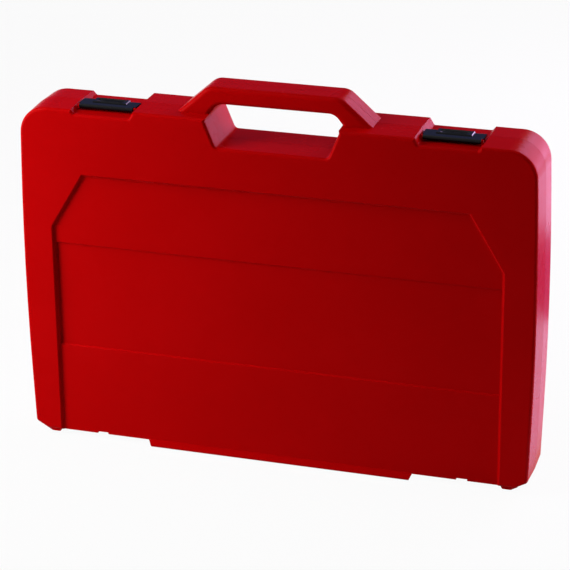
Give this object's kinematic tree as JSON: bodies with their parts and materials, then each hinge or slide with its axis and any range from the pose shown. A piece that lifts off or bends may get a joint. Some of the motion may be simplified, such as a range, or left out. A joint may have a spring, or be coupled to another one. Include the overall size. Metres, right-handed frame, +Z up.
{
  "type": "socket wrench set in case",
  "caption": "Hinged moulded case with a carrying handle and snap latches that stands on its hinge edge, holding ratchets, sockets, extensions and drive accessories in a pocketed tray.",
  "frame": {"origin": "on the floor under the middle of the closed case, in the parting plane of its two shells", "axes": "+X along the case's width to the viewer's right, +Y from the lid (front) to the base (back), +Z up to the handle"},
  "size_m": [0.5064, 0.064, 0.3728],
  "materials": {
    "red_plastic": "satin moulded, fine grain",
    "black_plastic": "satin moulded",
    "pin_steel": "drawn wire",
    "tray_plastic": "formed, fine grain",
    "screw_steel": "zinc plated",
    "foam": "open-cell foam",
    "black_rubber": "matt",
    "grip_rubber": "soft matt",
    "bare_steel": "ground",
    "dark_steel": "blackened",
    "chrome": "polished with fine satin bands"
  },
  "bodies": {
    "base": {"base_shell": "red_plastic", "base_tray": "tray_plastic", "tray_screws": "screw_steel", "hinge_pins": "pin_steel", "half_socket_10mm": "chrome", "half_socket_12mm": "chrome", "half_socket_13mm": "chrome", "half_socket_14mm": "chrome", "half_socket_17mm": "chrome", "half_socket_19mm": "chrome", "half_socket_21mm": "chrome", "half_socket_22mm": "chrome", "half_socket_24mm": "chrome", "half_socket_27mm": "chrome", "quarter_socket_6mm": "chrome", "quarter_socket_7mm": "chrome", "quarter_socket_8mm": "chrome", "quarter_socket_9mm": "chrome", "quarter_socket_10mm": "chrome", "quarter_socket_11mm": "chrome", "quarter_socket_12mm": "chrome", "quarter_socket_13mm": "chrome", "spark_plug_socket": "chrome", "spark_plug_sleeve": "black_rubber", "half_extension_long": "chrome", "half_extension_short": "chrome", "quarter_extension": "chrome", "extension_balls": "bare_steel", "t_bar_rod": "chrome", "joint_socket_yoke": "chrome", "spinner_handle": "grip_rubber", "spinner_shaft": "chrome", "half_ratchet_body": "chrome", "half_ratchet_grip": "grip_rubber", "half_ratchet_cover": "chrome", "half_ratchet_screws": "bare_steel", "quarter_ratchet_body": "chrome", "quarter_ratchet_grip": "grip_rubber", "quarter_ratchet_cover": "chrome", "quarter_ratchet_screws": "bare_steel"},
    "lid": {"lid_shell": "red_plastic", "lid_foam": "foam", "latch_pins": "pin_steel"},
    "latch_left": {"latch_left": "black_plastic"},
    "latch_right": {"latch_right": "black_plastic"},
    "t_bar_head": {"t_bar_head": "chrome"},
    "joint_cross": {"joint_cross": "chrome"},
    "joint_drive": {"joint_drive_yoke": "chrome"},
    "half_drive": {"half_ratchet_gear": "bare_steel", "half_ratchet_ball": "bare_steel"},
    "half_button": {"half_ratchet_button": "dark_steel"},
    "half_selector": {"half_ratchet_selector": "dark_steel"},
    "half_pawl": {"half_ratchet_pawl": "bare_steel"},
    "quarter_drive": {"quarter_ratchet_gear": "bare_steel", "quarter_ratchet_ball": "bare_steel"},
    "quarter_button": {"quarter_ratchet_button": "dark_steel"},
    "quarter_selector": {"quarter_ratchet_selector": "dark_steel"},
    "quarter_pawl": {"quarter_ratchet_pawl": "bare_steel"}
  },
  "joints": [
    {"name": "lid_hinge", "type": "hinge", "parent": "base", "child": "lid", "pos_m": [0, 0, 0.0026], "axis": [1, 0, 0], "range_deg": [0, 180]},
    {"name": "latch_left_pivot", "type": "hinge", "parent": "lid", "child": "latch_left", "pos_m": [-0.1668, -0.0153, 0.3434], "axis": [1, 0, 0], "range_deg": [0, 110]},
    {"name": "latch_right_pivot", "type": "hinge", "parent": "lid", "child": "latch_right", "pos_m": [0.1668, -0.0153, 0.3434], "axis": [1, 0, 0], "range_deg": [0, 110]},
    {"name": "half_drive_spin", "type": "hinge", "parent": "base", "child": "half_drive", "pos_m": [-0.193, -0.001, 0.16], "axis": [0, 1, 0], "continuous": true},
    {"name": "half_button_press", "type": "slide", "parent": "half_drive", "child": "half_button", "axis": [0, 1, 0], "range_m": [0, 0.0016], "stiffness_N_per_m": 900},
    {"name": "half_selector_flip", "type": "hinge", "parent": "base", "child": "half_selector", "pos_m": [-0.1725, -0.001, 0.16], "axis": [0, 1, 0], "range_deg": [0, 50]},
    {"name": "half_pawl_rock", "type": "hinge", "parent": "base", "child": "half_pawl", "pos_m": [-0.1725, -0.001, 0.16], "axis": [0, 1, 0], "range_deg": [0, 14]},
    {"name": "quarter_drive_spin", "type": "hinge", "parent": "base", "child": "quarter_drive", "pos_m": [0.0896, 0.001, 0.16], "axis": [0, 1, 0], "continuous": true},
    {"name": "quarter_button_press", "type": "slide", "parent": "quarter_drive", "child": "quarter_button", "axis": [0, 1, 0], "range_m": [0, 0.0012], "stiffness_N_per_m": 600},
    {"name": "quarter_selector_flip", "type": "hinge", "parent": "base", "child": "quarter_selector", "pos_m": [0.1024, 0.001, 0.16], "axis": [0, 1, 0], "range_deg": [0, 50]},
    {"name": "quarter_pawl_rock", "type": "hinge", "parent": "base", "child": "quarter_pawl", "pos_m": [0.1024, 0.001, 0.16], "axis": [0, 1, 0], "range_deg": [0, 14]},
    {"name": "t_bar_slide", "type": "slide", "parent": "base", "child": "t_bar_head", "axis": [1, 0, 0], "range_m": [-0.093, 0.093]},
    {"name": "joint_swing", "type": "hinge", "parent": "base", "child": "joint_cross", "pos_m": [0.124, 0.003, 0.217], "axis": [0, 0, 1], "range_deg": [-30, 30]},
    {"name": "joint_tilt", "type": "hinge", "parent": "joint_cross", "child": "joint_drive", "pos_m": [0.124, 0.003, 0.217], "axis": [0, 1, 0], "range_deg": [-30, 30]}
  ],
  "couplings": [
    {"joint": "half_pawl_rock", "follows": "half_selector_flip", "ratio": 0.28},
    {"joint": "quarter_pawl_rock", "follows": "quarter_selector_flip", "ratio": 0.28}
  ]
}
